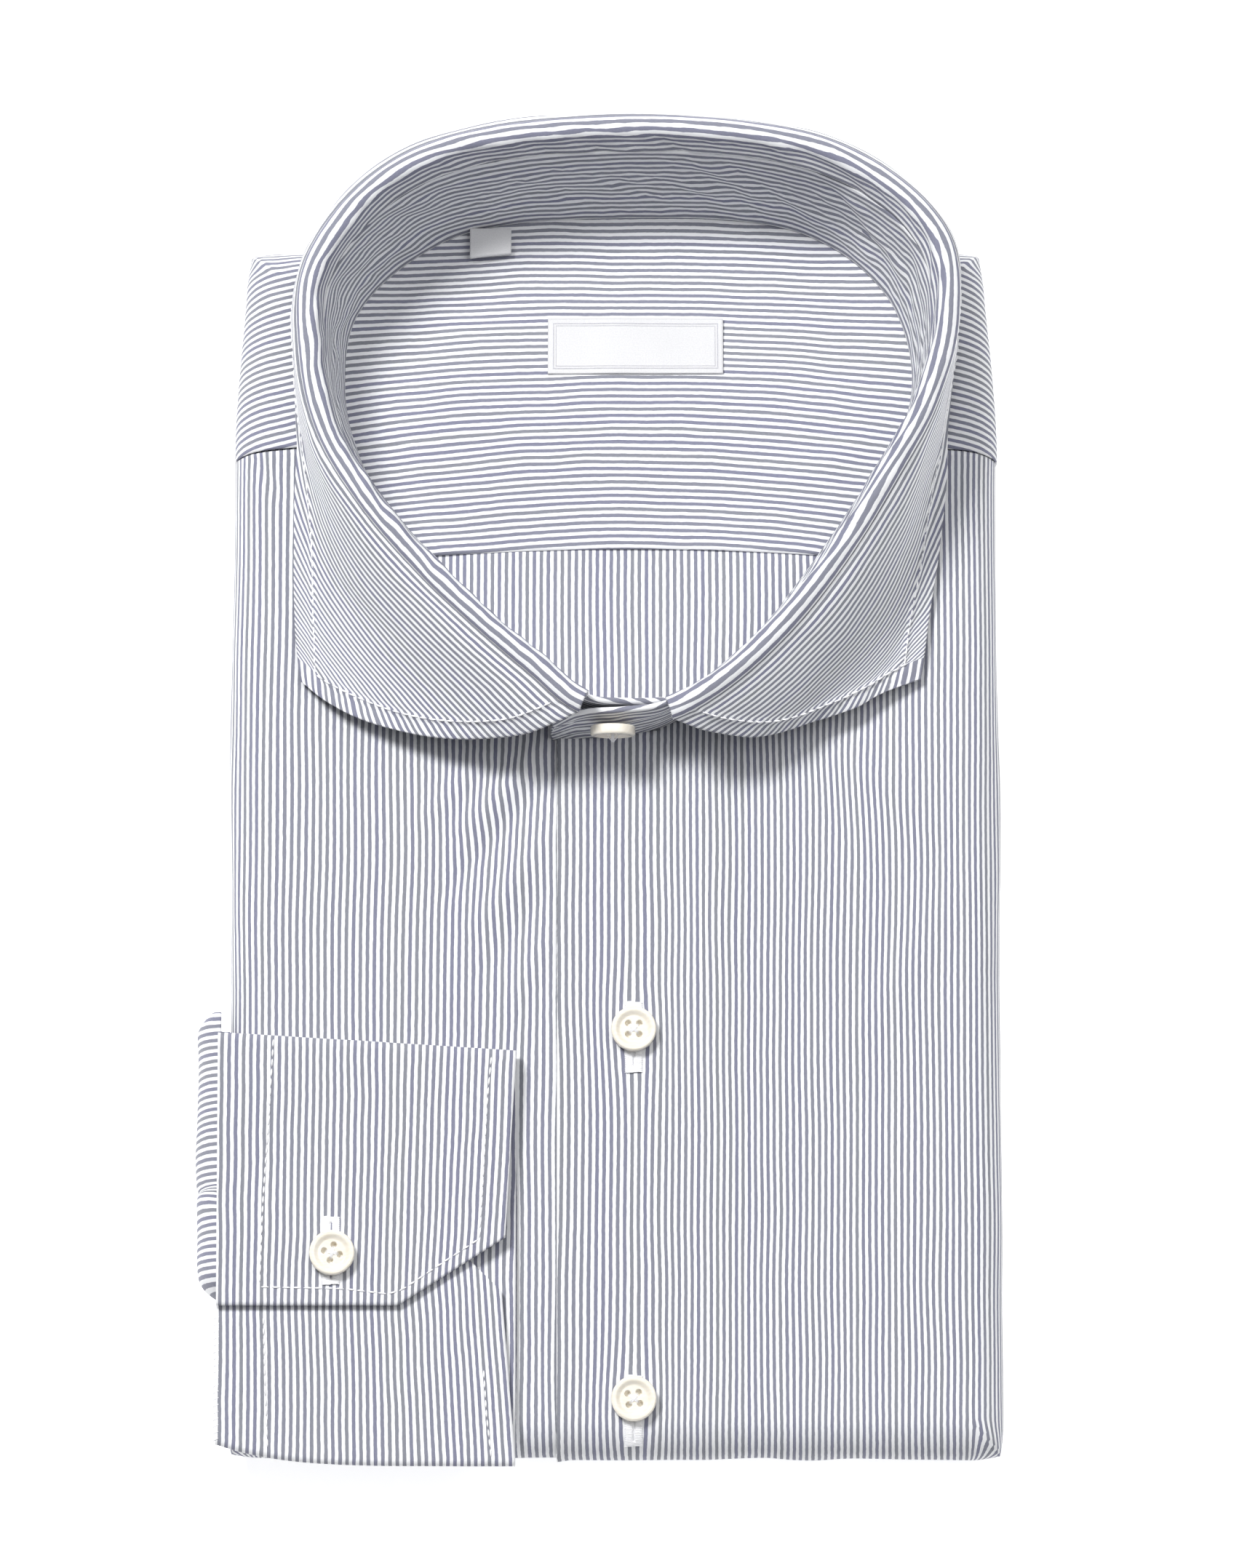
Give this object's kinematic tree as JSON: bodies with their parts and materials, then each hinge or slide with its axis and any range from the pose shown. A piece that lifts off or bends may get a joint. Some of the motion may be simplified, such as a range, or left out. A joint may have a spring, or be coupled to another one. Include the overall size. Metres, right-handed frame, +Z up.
{
  "type": "folded dress shirt",
  "caption": "Striped cotton dress shirt folded flat for a shelf, front up, with its spread collar standing buttoned and one barrel cuff brought round onto the front.",
  "frame": {"origin": "middle of the underside's bounding box, on the surface that the shirt lies on", "axes": "+Y from the folded hem towards the collar, +Z up out of the shirt's front, +X towards the viewer's right (the wearer's left)"},
  "size_m": [0.204, 0.349, 0.0557],
  "materials": {
    "striped_cotton": "matt fine poplin with an even white and grey-blue stripe",
    "shell_button": "polished ivory shell with a soft sheen",
    "white_tape": "white satin tape"
  },
  "bodies": {
    "root": {"folded_core": "striped_cotton", "back_panel": "striped_cotton", "yoke": "striped_cotton", "front_right": "striped_cotton", "front_left": "striped_cotton", "collar_stand": "striped_cotton", "collar_fall": "striped_cotton", "sleeve": "striped_cotton", "cuff": "striped_cotton", "neck_label": "white_tape", "size_tab": "white_tape", "front_button_1": "shell_button", "front_button_2": "shell_button", "cuff_button": "shell_button", "collar_button": "shell_button"}
  },
  "joints": []
}
